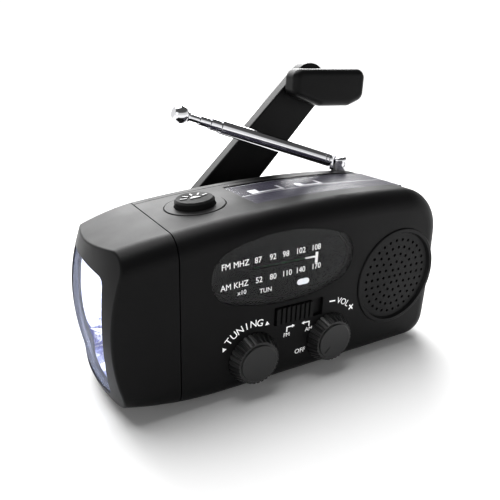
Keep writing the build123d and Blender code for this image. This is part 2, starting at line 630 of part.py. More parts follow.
# --- Solar panel ----------------------------------------------------------------------------------
EDGE_GAP = 0.12
save(arched_slab(PANEL_LEFT + EDGE_GAP, PANEL_RIGHT - EDGE_GAP, PANEL_FRONT + EDGE_GAP,
                 PANEL_BACK - EDGE_GAP, PANEL_DEPTH, COVER_T + 0.02), "solar_cell")
save(arched_slab(PANEL_LEFT + EDGE_GAP, PANEL_RIGHT - EDGE_GAP, PANEL_FRONT + EDGE_GAP,
                 PANEL_BACK - EDGE_GAP, COVER_T, 0.0), "solar_cover")

# --- Lamp button ----------------------------------------------------------------------------------
with BuildPart() as button_ring:
    add(disc(button_plane(-BEZEL_T), BEZEL_R, BEZEL_T + 0.15))
    fillet(button_ring.edges().filter_by(GeomType.CIRCLE).sort_by(Axis.Z)[-1:], 0.3)
    add(disc(button_plane(-BEZEL_T - 1), BUTTON_R + 0.3, 4), mode=Mode.SUBTRACT)
save(button_ring.part, "button_ring")

with BuildPart() as lamp_button:
    add(disc(button_plane(-4), BUTTON_R, BUTTON_RISE + 4))
    chamfer(lamp_button.edges().filter_by(GeomType.CIRCLE).sort_by(Axis.Z)[-1:], 0.6)
    add(disc(button_plane(-4), BUTTON_R + 0.8, 1.2))
save(lamp_button.part, "lamp_button")

BUTTON_SWITCH_TOP = -4 - BUTTON_TRAVEL - 0.1
with BuildPart() as button_switch:
    with BuildSketch(button_plane(BUTTON_SWITCH_TOP - 4)):
        Rectangle(6, 6)
    extrude(amount=3)
    with BuildSketch(button_plane(BUTTON_SWITCH_TOP - 1)):
        Circle(1.6)
    extrude(amount=1)
save(button_switch.part, "button_switch")

with BuildPart() as switch_bracket:
    with BuildSketch(button_plane(BUTTON_SWITCH_TOP - 5.2)):
        with Locations((-1.4, 0)):
            Rectangle(18.6, 12)
    extrude(amount=1.2)
save(switch_bracket.part, "switch_bracket")

# --- Boards, battery and ferrite aerial --------------------------------------------------------------
BOARD_T = 1.4
save(slab(-33.5, 19.5, BOARD_Y, BOARD_Y + BOARD_T, 3.4, 49.5), "main_board")

BATTERY_LEFT, BATTERY_L, BATTERY_R = -34.2, 46.5, 6.9
BATTERY_Y, BATTERY_Z = 4.5, 9.6
with BuildPart() as battery:
    add(rod_x(BATTERY_LEFT, BATTERY_L, BATTERY_Y, BATTERY_Z, BATTERY_R))
    add(rod_x(BATTERY_LEFT + BATTERY_L, 1.2, BATTERY_Y, BATTERY_Z, 2.4))
save(battery.part, "battery")

FERRITE_Y, FERRITE_Z = 4.0, 47.5
FERRITE_R = 3.5
save(rod_x(-16, 52, FERRITE_Y, FERRITE_Z, FERRITE_R), "ferrite_rod")
with BuildPart() as ferrite_coil:
    add(rod_x(2, 18, FERRITE_Y, FERRITE_Z, FERRITE_R + 1.1))
    add(rod_x(2, 18, FERRITE_Y, FERRITE_Z, FERRITE_R), mode=Mode.SUBTRACT)
save(ferrite_coil.part, "ferrite_coil")

# --- Gear train and dynamo ---------------------------------------------------------------------------
DRIVE_Y, WHEEL_Y = (16.8, 19.2), (13.2, 15.6)
IDLER_REACH = DRIVE_MODULE * (DRIVE_TEETH + IDLER_PINION_TEETH) / 2
DYNAMO_REACH = FAST_MODULE * (IDLER_WHEEL_TEETH + DYNAMO_TEETH) / 2
IDLER_X = CRANK_X + IDLER_REACH * cos(radians(IDLER_ANGLE))
IDLER_Z = CRANK_Z + IDLER_REACH * sin(radians(IDLER_ANGLE))
DYNAMO_X = IDLER_X + DYNAMO_REACH * cos(radians(DYNAMO_ANGLE))
DYNAMO_Z = IDLER_Z + DYNAMO_REACH * sin(radians(DYNAMO_ANGLE))
IDLER_AXLE_R = 1.0
ROTOR_SHAFT_R = 1.0


def gear(x, z, teeth, module, y_low, y_high, tooth_angle):
    """A spur gear with slim straight-sided teeth, one of them centred on tooth_angle."""
    pitch_r = module * teeth / 2
    tooth = pi * module
    root_r, tip_r = pitch_r - 1.15 * module, pitch_r + 0.85 * module
    with BuildPart() as wheel:
        with BuildSketch(front_plane(x, y_high, z)):
            Circle(root_r)
            with PolarLocations(0, teeth, start_angle=tooth_angle):
                Polygon((root_r - 0.3, -0.30 * tooth), (tip_r, -0.12 * tooth), (tip_r, 0.12 * tooth),
                        (root_r - 0.3, 0.30 * tooth), align=None)
        extrude(amount=y_high - y_low)
    return wheel.part


with BuildPart() as drive_gear:
    add(gear(CRANK_X, CRANK_Z, DRIVE_TEETH, DRIVE_MODULE, *DRIVE_Y, IDLER_ANGLE))
    add(rod_y(CRANK_X, CRANK_Z, CRANK_SHAFT_R, 0, BACK), mode=Mode.SUBTRACT)
    with BuildSketch(front_plane(CRANK_X, DRIVE_Y[1] + 1, CRANK_Z)):
        with PolarLocations(8.2, 6):
            Circle(2.4)
    extrude(amount=6, mode=Mode.SUBTRACT)
save(drive_gear.part, "drive_gear")

with BuildPart() as idler_gear:
    add(gear(IDLER_X, IDLER_Z, IDLER_WHEEL_TEETH, FAST_MODULE, *WHEEL_Y, DYNAMO_ANGLE))
    add(gear(IDLER_X, IDLER_Z, IDLER_PINION_TEETH, DRIVE_MODULE, WHEEL_Y[1], DRIVE_Y[1] + 0.2,
             IDLER_ANGLE + 180 + 180 / IDLER_PINION_TEETH))
    add(rod_y(IDLER_X, IDLER_Z, IDLER_AXLE_R + RUNNING, 0, BACK), mode=Mode.SUBTRACT)
save(idler_gear.part, "idler_gear")

PLATE_Y = (10.6, 12.0)
with BuildPart() as gear_plate:
    with BuildSketch(front_plane(-5.5, PLATE_Y[1], 31)):
        RectangleRounded(54, 25, 3)
    extrude(amount=PLATE_Y[1] - PLATE_Y[0])
    for hole_x, hole_z, hole_r in ((CRANK_X, CRANK_Z, CRANK_SHAFT_R + RUNNING),
                                   (IDLER_X, IDLER_Z, IDLER_AXLE_R),
                                   (DYNAMO_X, DYNAMO_Z, 3.2)):
        add(rod_y(hole_x, hole_z, hole_r, 0, BACK), mode=Mode.SUBTRACT)
    # Stand-offs to the rear shell.
    for post_x, post_z in ((-30.5, 21.5), (19.5, 40.5)):
        add(rod_y(post_x, post_z, 1.6, PLATE_Y[1], INNER_BACK))
save(gear_plate.part, "gear_plate")
save(rod_y(IDLER_X, IDLER_Z, IDLER_AXLE_R, PLATE_Y[0], INNER_BACK), "idler_axle")

DYNAMO_Y = (-5.6, 10.6)
with BuildPart() as dynamo_case:
    add(rod_y(DYNAMO_X, DYNAMO_Z, DYNAMO_R, *DYNAMO_Y))
    add(rod_y(DYNAMO_X, DYNAMO_Z, DYNAMO_R - 2.2, DYNAMO_Y[0] + 1.5, DYNAMO_Y[1] - 1.5),
        mode=Mode.SUBTRACT)
    add(rod_y(DYNAMO_X, DYNAMO_Z, ROTOR_SHAFT_R + RUNNING, DYNAMO_Y[0] - 1, DYNAMO_Y[1] + 1),
        mode=Mode.SUBTRACT)
save(dynamo_case.part, "dynamo_case")
with BuildPart() as dynamo_rotor:
    add(rod_y(DYNAMO_X, DYNAMO_Z, ROTOR_SHAFT_R, DYNAMO_Y[0] + 0.3, WHEEL_Y[1] + 0.4))
    add(rod_y(DYNAMO_X, DYNAMO_Z, DYNAMO_R - 3.0, DYNAMO_Y[0] + 2, DYNAMO_Y[1] - 2))
save(dynamo_rotor.part, "dynamo_rotor")
with BuildPart() as dynamo_pinion:
    add(gear(DYNAMO_X, DYNAMO_Z, DYNAMO_TEETH, FAST_MODULE, WHEEL_Y[0] - 0.2, WHEEL_Y[1] + 0.3,
             DYNAMO_ANGLE + 180 + 180 / DYNAMO_TEETH))
    add(rod_y(DYNAMO_X, DYNAMO_Z, ROTOR_SHAFT_R, 0, BACK), mode=Mode.SUBTRACT)
save(dynamo_pinion.part, "dynamo_pinion")

# --- Crank ----------------------------------------------------------------------------------------
ARM_LENGTH = hypot(GRIP_PIN_X - CRANK_X, GRIP_PIN_Z - CRANK_Z)
ARM_ANGLE = degrees(atan2(GRIP_PIN_Z - CRANK_Z, GRIP_PIN_X - CRANK_X))
save(rod_y(CRANK_X, CRANK_Z, CRANK_SHAFT_R, PLATE_Y[0] - 1, ARM_BACK - 1.2), "crank_shaft")

with BuildPart() as crank_arm:
    with BuildSketch(front_plane(CRANK_X, ARM_BACK, CRANK_Z)):
        # The tapered bar between two round ends, its sides tangent to both circles.
        splay = (ARM_HUB_R - ARM_TIP_R) / ARM_LENGTH
        rise = (1 - splay ** 2) ** 0.5
        hub_point = (ARM_HUB_R * splay, ARM_HUB_R * rise)
        tip_point = (ARM_LENGTH + ARM_TIP_R * splay, ARM_TIP_R * rise)
        corners = [hub_point, tip_point, (tip_point[0], -tip_point[1]), (hub_point[0], -hub_point[1])]
        Polygon(*corners, align=None, rotation=ARM_ANGLE)
        Circle(ARM_HUB_R)
        with PolarLocations(ARM_LENGTH, 1, start_angle=ARM_ANGLE):
            Circle(ARM_TIP_R)
    extrude(amount=ARM_BACK - ARM_FRONT)
    rims = crank_arm.faces().filter_by(Axis.Y)
    fillet(rims.sort_by(Axis.Y)[-1].edges(), 1.0)
    fillet(rims.sort_by(Axis.Y)[0].edges(), 0.6)
    add(rod_y(CRANK_X, CRANK_Z, ARM_HUB_R - 1, ARM_FRONT - 1, ARM_FRONT + 1))
    add(rod_y(CRANK_X, CRANK_Z, CRANK_SHAFT_R, 0, ARM_BACK - 1.2), mode=Mode.SUBTRACT)
    add(rod_y(CRANK_X, CRANK_Z, SCREW_R, 0, ARM_BACK + 1), mode=Mode.SUBTRACT)
    add(rod_y(GRIP_PIN_X, GRIP_PIN_Z, GRIP_PIN_R, 0, ARM_BACK - 1.5), mode=Mode.SUBTRACT)
save(crank_arm.part, "crank_arm")

with BuildPart() as crank_screw:
    add(rod_y(CRANK_X, CRANK_Z, 3.4, ARM_BACK, ARM_BACK + 1.4))
    fillet(crank_screw.faces().sort_by(Axis.Y)[-1].edges(), 0.6)
    with BuildSketch(back_plane(CRANK_X, ARM_BACK + 0.8, CRANK_Z)):
        Rectangle(3.6, 0.8)
        Rectangle(0.8, 3.6)
    extrude(amount=1, mode=Mode.SUBTRACT)
    add(rod_y(CRANK_X, CRANK_Z, SCREW_R, ARM_BACK - 1.2, ARM_BACK))
save(crank_screw.part, "crank_screw")

GRIP_PIN_FRONT = 26.0
save(rod_y(GRIP_PIN_X, GRIP_PIN_Z, GRIP_PIN_R, GRIP_PIN_FRONT, ARM_BACK - 1.5), "grip_pin")

with BuildPart() as crank_grip:
    with BuildSketch(front_plane(GRIP_MID_X, GRIP_BACK, GRIP_MID_Z)) as outline:
        Polygon((-GRIP_HALF_L, GRIP_TOP - 0.6), (-GRIP_HALF_L, -3.2), (-4, -GRIP_BELLY), (10, -GRIP_BELLY),
                (GRIP_HALF_L, -4.4), (GRIP_HALF_L, GRIP_TOP), align=None)
        fillet(outline.vertices(), 3.6)
    extrude(amount=GRIP_BACK - GRIP_FRONT)
    flat_faces = crank_grip.faces().filter_by(Axis.Y)
    fillet(flat_faces.sort_by(Axis.Y)[0].edges(), 2.6)
    fillet(crank_grip.faces().filter_by(Axis.Y).sort_by(Axis.Y)[-1].edges(), 1.4)
    add(rod_y(GRIP_PIN_X, GRIP_PIN_Z, GRIP_PIN_R + RUNNING, GRIP_PIN_FRONT - 0.3, ARM_BACK),
        mode=Mode.SUBTRACT)
save(crank_grip.part, "crank_grip")

# --- Aerial ---------------------------------------------------------------------------------------
POST_R = 2.6
FORK_BASE = 58.05
with BuildPart() as aerial_socket:
    with BuildSketch(Plane(origin=(AERIAL_X, AERIAL_Y, 46.0))):
        Circle(3.5)
        Circle(POST_R + RUNNING, mode=Mode.SUBTRACT)
    extrude(amount=6.0)
save(aerial_socket.part, "aerial_socket")

EAR_GAP = 2.4
with BuildPart() as aerial_swivel:
    with BuildSketch(Plane(origin=(AERIAL_X, AERIAL_Y, 45.6))):
        Circle(POST_R)
    extrude(amount=12.6)
    with BuildSketch(Plane(origin=(AERIAL_X, AERIAL_Y, FORK_BASE))):
        Circle(3.4)
    extrude(amount=AERIAL_Z + 2.7 - FORK_BASE)
    fillet(aerial_swivel.faces().sort_by(Axis.Z)[-1].edges(), 1.2)
    with BuildSketch(Plane(origin=(AERIAL_X, AERIAL_Y, AERIAL_Z - 2.2))):
        Rectangle(10, EAR_GAP)
    extrude(amount=8, mode=Mode.SUBTRACT)
    add(rod_y(AERIAL_X, AERIAL_Z, 0.9, AERIAL_Y - 5, AERIAL_Y + 5), mode=Mode.SUBTRACT)
save(aerial_swivel.part, "aerial_swivel")
save(rod_y(AERIAL_X, AERIAL_Z, 0.9, AERIAL_Y - 3.1, AERIAL_Y + 3.1), "aerial_pin")

with BuildPart() as aerial_section_1:
    with BuildSketch(aerial_plane(AERIAL_START)):
        Circle(TUBE_RADII[0])
    extrude(amount=TUBE_ENDS[0] - AERIAL_START)
    # Two turned rings at the root.
    for along in (AERIAL_START + 1.2, AERIAL_START + 2.8):
        with BuildSketch(aerial_plane(along)):
            Circle(TUBE_RADII[0] + 0.5)
            Circle(TUBE_RADII[0] - 0.35, mode=Mode.SUBTRACT)
        extrude(amount=0.45, mode=Mode.SUBTRACT)
    with BuildSketch(aerial_plane(TUBE_TAILS[1] - 0.4)):
        Circle(TUBE_RADII[1] + TUBE_FIT)
    extrude(amount=60, mode=Mode.SUBTRACT)
    # Flat tang that fills the fork.
    with BuildSketch(aerial_plane(0)):
        Rectangle(EAR_GAP - 0.16, 4.0)
    extrude(amount=AERIAL_START)
    add(rod_y(AERIAL_X, AERIAL_Z, 2.0, AERIAL_Y - EAR_GAP / 2 + 0.08, AERIAL_Y + EAR_GAP / 2 - 0.08))
    add(rod_y(AERIAL_X, AERIAL_Z, 0.9 + RUNNING, 0, BACK), mode=Mode.SUBTRACT)
save(aerial_section_1.part, "aerial_section_1")

for index in (1, 2, 3):
    with BuildPart() as section:
        with BuildSketch(aerial_plane(TUBE_TAILS[index])):
            Circle(TUBE_RADII[index])
            if index < 3:
                Circle(TUBE_RADII[index + 1] + TUBE_FIT, mode=Mode.SUBTRACT)
        extrude(amount=TUBE_ENDS[index] - TUBE_TAILS[index])
        if index < 3:
            # Closed tail, so that the next section can't drop through.
            with BuildSketch(aerial_plane(TUBE_TAILS[index])):
                Circle(TUBE_RADII[index])
            extrude(amount=0.6)
    save(section.part, f"aerial_section_{index + 1}")

with BuildPart() as aerial_tip:
    with Locations(aerial_plane(AERIAL_TIP)):
        Sphere(TIP_R)
    with BuildSketch(aerial_plane(TUBE_ENDS[3])):
        Circle(1.7)
    extrude(amount=AERIAL_TIP - TUBE_ENDS[3])
    # A turned flat on the end.
    with BuildSketch(aerial_plane(AERIAL_TIP + 0.8 * TIP_R)):
        Circle(TIP_R)
    extrude(amount=TIP_R, mode=Mode.SUBTRACT)
save(aerial_tip.part, "aerial_tip")

# --- Sockets and their cover ------------------------------------------------------------------------
SOCKET_BACK = BACK - PORT_DEPTH - 0.3
for name, socket_x, width, height, depth, wall in (("usb_socket", USB_X, 13.2, 5.7, 14.0, 0.35),
                                                   ("micro_usb_socket", MICRO_X, 7.8, 3.0, 6.0, 0.35)):
    with BuildPart() as socket:
        with BuildSketch(back_plane(socket_x, SOCKET_BACK - depth, SOCKET_Z)):
            RectangleRounded(width, height, 0.4)
        extrude(amount=depth)
        with BuildSketch(back_plane(socket_x, SOCKET_BACK - depth + 1.5, SOCKET_Z)):
            RectangleRounded(width - 2 * wall, height - 2 * wall, 0.2)
        extrude(amount=depth, mode=Mode.SUBTRACT)
    save(socket.part, name)

SOCKET_BOARD_Z = SOCKET_Z - 2.85 - 1.4
save(slab(MICRO_X - 6, USB_X + 6.8, -2.5, 18, SOCKET_BOARD_Z, SOCKET_BOARD_Z + 1.4), "socket_board")

with BuildPart() as port_cover:
    with BuildSketch(back_plane(PORT_X, BACK - 1.4, PORT_Z - 0.5)):
        RectangleRounded(PORT_L, PORT_H - 1, 1.0)
    extrude(amount=1.35)
    add(rod_x(PORT_X - PORT_L / 2, PORT_L, HINGE_Y, HINGE_Z, 0.85))
    with BuildSketch(back_plane(PORT_X, BACK - 1.4, HINGE_Z - 0.8)):
        Rectangle(PORT_L - 2.4, 1.6)
    extrude(amount=0.9)
    # Finger notch along the free edge.
    with BuildSketch(back_plane(PORT_X, BACK - 0.7, PORT_Z - PORT_H / 2 + 0.3)):
        SlotOverall(9, 1.4)
    extrude(amount=2, mode=Mode.SUBTRACT)
    add(rod_x(PORT_X - PORT_L, 2 * PORT_L, HINGE_Y, HINGE_Z, HINGE_PIN_R + RUNNING),
        mode=Mode.SUBTRACT)
save(port_cover.part, "port_cover")
save(rod_x(PORT_X - PORT_L / 2 - 1.4, PORT_L + 2.8, HINGE_Y, HINGE_Z, HINGE_PIN_R), "cover_pin")
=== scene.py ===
"""Looks of the emergency radio: materials, printing, faceted lamp, solar contacts, button sign;
painted glow on the inks, the lens and the reflector, and a painted highlight round the solar cell.
"""
import json
from math import cos, pi, radians, sin

import bmesh
import bpy
from mathutils import Matrix, Vector


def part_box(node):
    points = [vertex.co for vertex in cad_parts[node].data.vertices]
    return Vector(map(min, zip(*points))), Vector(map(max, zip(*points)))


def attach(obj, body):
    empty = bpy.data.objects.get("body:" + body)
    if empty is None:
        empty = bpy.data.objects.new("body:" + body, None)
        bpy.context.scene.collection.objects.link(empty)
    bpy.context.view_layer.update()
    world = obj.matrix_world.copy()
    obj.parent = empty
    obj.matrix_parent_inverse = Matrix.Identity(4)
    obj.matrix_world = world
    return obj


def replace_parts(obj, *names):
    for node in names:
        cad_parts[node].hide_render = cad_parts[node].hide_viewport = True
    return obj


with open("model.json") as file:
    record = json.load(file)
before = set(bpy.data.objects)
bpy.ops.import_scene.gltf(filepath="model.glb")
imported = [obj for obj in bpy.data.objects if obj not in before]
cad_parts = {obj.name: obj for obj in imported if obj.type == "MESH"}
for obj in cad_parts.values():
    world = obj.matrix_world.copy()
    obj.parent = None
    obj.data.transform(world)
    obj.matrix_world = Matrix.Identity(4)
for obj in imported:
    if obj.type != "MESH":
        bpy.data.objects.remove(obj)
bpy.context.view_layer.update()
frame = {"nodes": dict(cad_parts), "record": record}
nodes = frame["nodes"]
record = frame["record"]
MM = 0.001

# --- Camera ---------------------------------------------------------------------------------------
CAMERA_AZIMUTH, CAMERA_ELEVATION, CAMERA_ROLL = radians(-31.1), radians(20.5), radians(2.1)
CAMERA_TARGET = Vector((-8.9, 0, 37.8)) * MM
CAMERA_DISTANCE = 169.6 * MM
CAMERA_LENS = 36.55


def add_camera():
    """The camera looks down on the lamp end, turned a little about its own axis."""
    back = Vector((sin(CAMERA_AZIMUTH) * cos(CAMERA_ELEVATION),
                   -cos(CAMERA_AZIMUTH) * cos(CAMERA_ELEVATION), sin(CAMERA_ELEVATION)))
    level = Vector((cos(CAMERA_AZIMUTH), sin(CAMERA_AZIMUTH), 0))
    upright = back.cross(level)
    right = level * cos(CAMERA_ROLL) + upright * sin(CAMERA_ROLL)
    up = upright * cos(CAMERA_ROLL) - level * sin(CAMERA_ROLL)
    data = bpy.data.cameras.new("camera")
    data.lens = CAMERA_LENS
    data.sensor_width = 36
    data.clip_start = 0.01
    camera = bpy.data.objects.new("camera", data)
    bpy.context.scene.collection.objects.link(camera)
    place = Matrix((right, up, back)).transposed().to_4x4()
    place.translation = CAMERA_TARGET + back * CAMERA_DISTANCE
    camera.matrix_world = place
    bpy.context.scene.camera = camera


add_camera()


# --- Studio ---------------------------------------------------------------------------------------
FLOOR_HALF = 12                             # metres, so that its edge is lost at the horizon
FLOOR_DROP = 0.2 * MM
WHITE_UP_TO, DIM_FROM = 0.22, 0.42          # heights on a sky of radius 1
CEILING = 0.1                               # brightness overhead, against 1 at the horizon
SKY_STRENGTH = 1.08
EVEN_LIGHT_STRENGTH, EVEN_LIGHT_SPREAD = 3.4, radians(50)
EVEN_LIGHT_HEADING = Vector((0.1, -0.35, -1))


def add_softbox(name, place, size, power, aim=(0, 0, 0.03), tone=(1, 1, 1)):
    """A rectangular soft light aimed at the radio."""
    data = bpy.data.lights.new(name, "AREA")
    data.shape = "RECTANGLE"
    data.size, data.size_y = size
    data.energy = power
    data.color = tone
    light = bpy.data.objects.new(name, data)
    bpy.context.scene.collection.objects.link(light)
    light.location = place
    light.rotation_euler = (Vector(aim) - Vector(place)).to_track_quat("-Z", "Y").to_euler()


def light_world():
    """White along the horizon and below, and a dim ceiling for the bright metal to mirror."""
    world = bpy.data.worlds.new("studio")
    bpy.context.scene.world = world
    world.use_nodes = True
    tree = world.node_tree
    background = tree.nodes["Background"]
    direction = tree.nodes.new("ShaderNodeTexCoord")
    split = tree.nodes.new("ShaderNodeSeparateXYZ")
    ramp = tree.nodes.new("ShaderNodeValToRGB")
    stops = ((WHITE_UP_TO, 1.0), (DIM_FROM, CEILING))
    for stop, (place, level) in zip(ramp.color_ramp.elements, stops):
        stop.position = place
        stop.color = (level, level, level, 1)
    tree.links.new(direction.outputs["Generated"], split.inputs[0])
    tree.links.new(split.outputs["Z"], ramp.inputs["Fac"])
    tree.links.new(ramp.outputs["Color"], background.inputs["Color"])
    background.inputs["Strength"].default_value = SKY_STRENGTH


def add_studio():
    """A pale floor, an even soft light from above, a large back light and a weak fill."""
    sheet = bmesh.new()
    bmesh.ops.create_grid(sheet, x_segments=1, y_segments=1, size=FLOOR_HALF)
    mesh = bpy.data.meshes.new("floor")
    sheet.to_mesh(mesh)
    sheet.free()
    floor = bpy.data.objects.new("floor", mesh)
    floor.location = (0, 0, -FLOOR_DROP)
    bpy.context.scene.collection.objects.link(floor)
    paint = bpy.data.materials.new("pale_floor")
    paint.use_nodes = True
    shader = paint.node_tree.nodes["Principled BSDF"]
    shader.inputs["Base Color"].default_value = (0.93, 0.93, 0.93, 1)
    shader.inputs["Roughness"].default_value = 0.9
    shader.inputs["Specular IOR Level"].default_value = 0.1
    mesh.materials.append(paint)

    light_world()
    data = bpy.data.lights.new("even_light", "SUN")
    data.energy = EVEN_LIGHT_STRENGTH
    data.angle = EVEN_LIGHT_SPREAD
    even_light = bpy.data.objects.new("even_light", data)
    bpy.context.scene.collection.objects.link(even_light)
    even_light.rotation_euler = EVEN_LIGHT_HEADING.to_track_quat("-Z", "Y").to_euler()
    add_softbox("back_light", (0.2, 0.8, 0.5), (1.1, 0.5), 16)
    add_softbox("fill_light", (-0.9, -0.5, 0.35), (0.5, 0.5), 1.0)


bpy.context.scene.view_settings.view_transform = "Standard"
add_studio()


# --- Materials ------------------------------------------------------------------------------------
class Finish:
    """A material with one Principled shader, and short names for the nodes that vary it."""

    def __init__(self, name, colour, roughness, metallic=0.0, level=0.5, alpha=1.0):
        self.material = bpy.data.materials.new(name)
        self.material.use_nodes = True
        self.tree = self.material.node_tree
        self.shader = self.tree.nodes["Principled BSDF"]
        self.set("Base Color", (*colour, 1))
        self.set("Roughness", roughness)
        self.set("Metallic", metallic)
        self.set("Specular IOR Level", level)
        self.set("Alpha", alpha)
        self.place = self.node("ShaderNodeTexCoord").outputs["Object"]

    def set(self, socket, value):
        self.shader.inputs[socket].default_value = value

    def node(self, kind, **values):
        made = self.tree.nodes.new(kind)
        for key, value in values.items():
            setattr(made, key, value)
        return made

    def join(self, output, target):
        self.tree.links.new(output, target)

    def stretched(self, scale, turn=(0, 0, 0)):
        """Object coordinates, turned and stretched."""
        mapping = self.node("ShaderNodeMapping")
        mapping.inputs["Rotation"].default_value = turn
        mapping.inputs["Scale"].default_value = scale
        self.join(self.place, mapping.inputs["Vector"])
        return mapping.outputs["Vector"]

    def noise(self, scale, detail=4.0, place=None):
        made = self.node("ShaderNodeTexNoise")
        made.inputs["Scale"].default_value = scale
        made.inputs["Detail"].default_value = detail
        self.join(place or self.place, made.inputs["Vector"])
        return made.outputs["Fac"]

    def between(self, value, low, high, start=0.0, end=1.0):
        """A value remapped to run from low to high."""
        made = self.node("ShaderNodeMapRange")
        for key, number in (("From Min", start), ("From Max", end), ("To Min", low), ("To Max", high)):
            made.inputs[key].default_value = number
        self.join(value, made.inputs["Value"])
        return made.outputs["Result"]

    def blend(self, factor, first, second):
        """A colour between two, or between a colour and another node's colour."""
        made = self.node("ShaderNodeMix", data_type="RGBA")
        for socket, colour in ((made.inputs[6], first), (made.inputs[7], second)):
            if isinstance(colour, tuple):
                socket.default_value = (*colour, 1)
            else:
                self.join(colour, socket)
        self.join(factor, made.inputs[0])
        return made.outputs[2]

    def vary_roughness(self, value, low, high, start=0.3, end=0.7):
        self.join(self.between(value, low, high, start, end), self.shader.inputs["Roughness"])

    def bump(self, value, depth, strength=1.0, before=None):
        made = self.node("ShaderNodeBump")
        made.inputs["Distance"].default_value = depth
        made.inputs["Strength"].default_value = strength
        self.join(value, made.inputs["Height"])
        if before:
            self.join(before, made.inputs["Normal"])
        self.join(made.outputs["Normal"], self.shader.inputs["Normal"])
        return made.outputs["Normal"]


def moulded_plastic(name, colour, roughness, grain=0.00002, grain_scale=5200, level=0.5, dust=1.5):
    """Moulded plastic: spark-eroded grain, patches of uneven sheen, faint handling marks."""
    finish = Finish(name, colour, roughness, level=level)
    patches = finish.noise(55, 3)
    finish.vary_roughness(patches, roughness - 0.05, roughness + 0.06)
    worn = tuple(min(1.0, channel * dust + 0.0006) for channel in colour)
    rubbed = finish.between(finish.noise(24, 6), 0, 1, 0.45, 0.75)
    finish.join(finish.blend(rubbed, colour, worn), finish.shader.inputs["Base Color"])
    waviness = finish.bump(finish.noise(40, 1), 0.00006, 0.35)
    finish.bump(finish.noise(grain_scale, 2), grain, 0.7, before=waviness)
    return finish.material


def polished_plating(name, colour, roughness, turn, run=(60, 3000, 3000)):
    """Bright plating with fine lengthwise polishing lines and a few dull spots."""
    finish = Finish(name, colour, roughness, metallic=1.0)
    lines = finish.noise(1, 3, finish.stretched(run, turn))
    finish.vary_roughness(lines, roughness - 0.03, roughness + 0.05)
    finish.bump(lines, 0.000002, 0.3)
    return finish.material


def turned_metal(name, colour, roughness, scale=2400):
    """Plain machined or pressed metal with a fine grain."""
    finish = Finish(name, colour, roughness, metallic=1.0)
    finish.vary_roughness(finish.noise(scale / 12, 4), roughness - 0.06, roughness + 0.12)
    finish.bump(finish.noise(scale, 2), 0.000008, 0.5)
    return finish.material


def clear_plastic(name, colour, alpha, roughness, ior, glow=0.0):
    """A clear cover: see-through, with a gloss, the faintest haze and, where glow is given, a painted
    violet glow, though the cover is no lamp.
    """
    finish = Finish(name, colour, roughness, alpha=alpha)
    finish.set("IOR", ior)
    if glow:
        # Painted light: a violet emission standing in for lamp light caught in the cover.
        finish.set("Emission Color", (0.2, 0.2, 0.6, 1))
        finish.set("Emission Strength", glow)
    finish.vary_roughness(finish.noise(90, 5), roughness, roughness + 0.05, 0.45, 0.8)
    return finish.material


def rubber(name, colour):
    finish = Finish(name, colour, 0.62, level=0.12)
    finish.vary_roughness(finish.noise(120, 3), 0.55, 0.7)
    finish.bump(finish.noise(3000, 3), 0.00003, 0.6)
    return finish.material


def glowing(name, colour, strength):
    """A lit LED body: white-hot middle, a little cooler where the epoxy is thick."""
    finish = Finish(name, colour, 0.12, level=0.6)
    cooler = finish.between(finish.noise(300, 2), 0, 1, 0.3, 0.7)
    glow = finish.blend(cooler, (1, 1, 1), (0.82, 0.88, 1))
    finish.join(glow, finish.shader.inputs["Emission Color"])
    finish.set("Emission Strength", strength)
    return finish.material


def printed_board(name, colour):
    """Solder mask over copper tracks."""
    finish = Finish(name, colour, 0.35)
    tracks = finish.node("ShaderNodeTexVoronoi", feature="DISTANCE_TO_EDGE", distance="MANHATTAN")
    tracks.inputs["Scale"].default_value = 420
    finish.join(finish.place, tracks.inputs["Vector"])
    mask = finish.between(tracks.outputs["Distance"], 0, 1, 0.05, 0.12)
    lighter = tuple(channel * 2.4 for channel in colour)
    finish.join(finish.blend(mask, lighter, colour), finish.shader.inputs["Base Color"])
    finish.bump(mask, 0.00004, 0.5)
    return finish.material


def silicon_cell(name, colour):
    """Polycrystalline silicon: large crystal flakes crossed by hair-thin silver fingers."""
    finish = Finish(name, colour, 0.4, level=0.1)
    flakes = finish.node("ShaderNodeTexVoronoi")
    flakes.inputs["Scale"].default_value = 900
    finish.join(finish.place, flakes.inputs["Vector"])
    tone = finish.between(flakes.outputs["Distance"], 0, 1, 0.0, 0.6)
    crystal = finish.blend(tone, colour, tuple(channel * 1.9 for channel in colour))
    fingers = finish.node("ShaderNodeTexWave", wave_type="BANDS", bands_direction="X")
    fingers.inputs["Scale"].default_value = 160
    finish.join(finish.place, fingers.inputs["Vector"])
    line = finish.between(fingers.outputs["Fac"], 0, 0.35, 0.93, 1.0)
    finish.join(finish.blend(line, crystal, (0.12, 0.12, 0.14)), finish.shader.inputs["Base Color"])
    finish.vary_roughness(flakes.outputs["Distance"], 0.22, 0.42, 0.0, 0.6)
    return finish.material


def printing(name, colour, painted_glow=0.3):
    """White pad-printed ink, slightly uneven, with a painted glow that makes it shine brighter than
    the lamps light it.
    """
    finish = Finish(name, colour, 0.5)
    uneven = finish.between(finish.noise(2500, 3), 0, 1, 0.35, 0.65)
    duller = tuple(channel * 0.86 for channel in colour)
    finish.join(finish.blend(uneven, colour, duller), finish.shader.inputs["Base Color"])
    # Painted light: the ink glows by itself, though it is no lamp.
    finish.set("Emission Color", (*colour, 1))
    finish.set("Emission Strength", painted_glow)
    return finish.material


